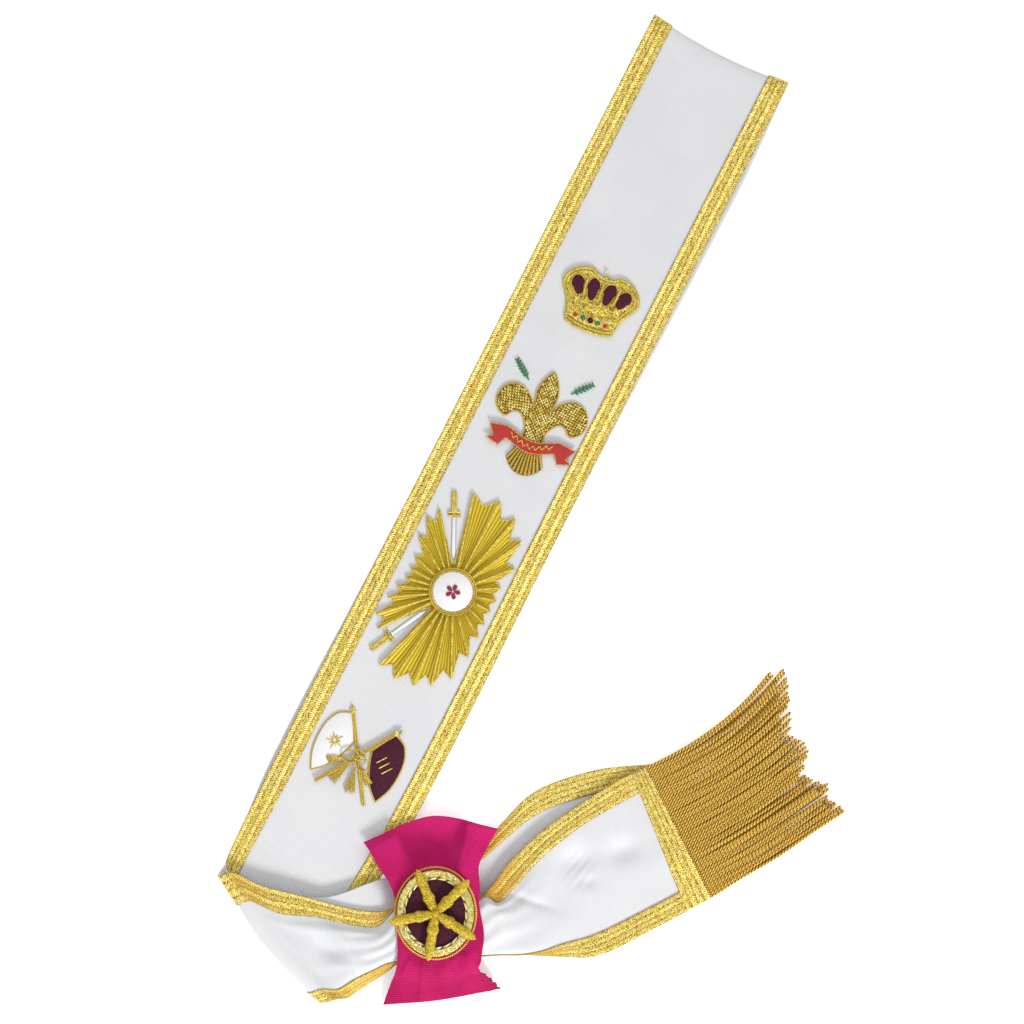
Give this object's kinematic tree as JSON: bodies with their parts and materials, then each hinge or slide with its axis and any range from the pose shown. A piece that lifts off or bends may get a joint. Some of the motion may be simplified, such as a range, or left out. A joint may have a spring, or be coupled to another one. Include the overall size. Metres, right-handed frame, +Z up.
{
  "type": "sash of an order",
  "caption": "Wide white ribbon sash edged with gold lace, with gold embroidery down its front, a magenta bow with a rosette at the hip, and two fringed tails.",
  "frame": {"origin": "middle of the footprint, on the surface that the sash lies on", "axes": "+Z up, off the surface; +Y along the panels, from the bow end towards the shoulder end; +X to the side on which the tails lie"},
  "size_m": [0.3584, 0.7, 0.0304],
  "materials": {
    "white_faille": "white ribbed silk ribbon with a faint watered sheen",
    "gold_lace": "bright yellow gold woven lace, glittering",
    "gold_bullion": "gold bullion wire embroidery, satin to bright",
    "silver_thread": "silver thread embroidery",
    "fringe_cord": "old gold twisted cord",
    "magenta_grosgrain": "magenta grosgrain ribbon, fine cross ribs",
    "plum_velvet": "dark plum velvet, matt",
    "red_silk": "red silk thread",
    "green_silk": "green silk thread",
    "white_silk": "white silk satin"
  },
  "bodies": {
    "root": {"front_ribbon": "white_faille", "rear_ribbon": "white_faille", "under_tail": "white_faille", "front_lace_right": "gold_lace", "front_lace_left": "gold_lace", "rear_lace_upper": "gold_lace", "rear_lace_lower": "gold_lace", "rear_lace_end": "gold_lace", "under_lace_upper": "gold_lace", "under_lace_lower": "gold_lace", "under_lace_end": "gold_lace", "upper_fringe": "fringe_cord", "under_fringe": "fringe_cord", "bow": "magenta_grosgrain", "rosette_disc": "plum_velvet", "crown_cap": "plum_velvet", "medallion_flower": "plum_velvet", "flag_red": "plum_velvet", "rosette_ring": "gold_bullion", "rosette_cord": "gold_bullion", "rosette_arm_1": "gold_bullion", "rosette_arm_2": "gold_bullion", "rosette_arm_3": "gold_bullion", "rosette_arm_4": "gold_bullion", "rosette_arm_5": "gold_bullion", "rosette_knot": "gold_bullion", "crown_frame": "gold_bullion", "lily": "gold_bullion", "sunburst": "gold_bullion", "medallion_ring": "gold_bullion", "staff_1": "gold_bullion", "staff_2": "gold_bullion", "flag_tassels": "gold_bullion", "lance_1": "silver_thread", "lance_2": "silver_thread", "medallion": "white_silk", "flag_white": "white_silk", "sprig_left": "green_silk", "sprig_right": "green_silk", "crown_jewel_2": "green_silk", "crown_jewel_4": "green_silk", "lily_scroll": "red_silk", "crown_jewel_1": "red_silk", "crown_jewel_3": "red_silk", "crown_jewel_5": "red_silk"}
  },
  "joints": []
}
